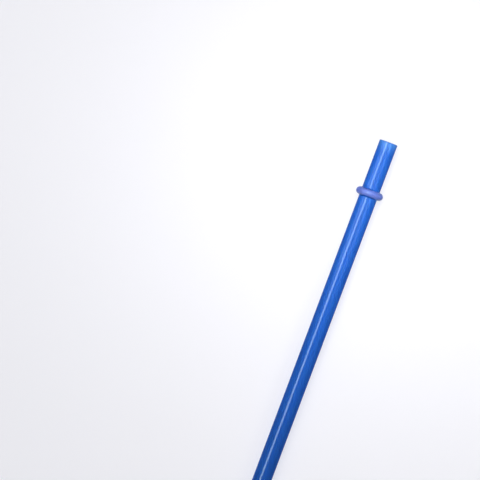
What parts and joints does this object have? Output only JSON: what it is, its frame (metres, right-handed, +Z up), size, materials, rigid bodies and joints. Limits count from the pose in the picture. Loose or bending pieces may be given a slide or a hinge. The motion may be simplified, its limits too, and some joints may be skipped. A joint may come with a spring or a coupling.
{
  "type": "drinking straw",
  "caption": "Straight rigid plastic drinking straw, an open round tube with a rounded stop ring folded out of its wall below the mouth end.",
  "frame": {"origin": "on the table, below the middle of the straw as it lies at rest on its stop ring and its foot edge", "axes": "+X from the foot end towards the mouth end, along the table; +Z up; the straw's own axis climbs from foot to mouth by about half a degree"},
  "size_m": [0.23, 0.012, 0.012],
  "materials": {
    "straw_plastic": "glossy translucent blue polypropylene"
  },
  "bodies": {
    "root": {"drinking_straw": "straw_plastic"}
  },
  "joints": []
}
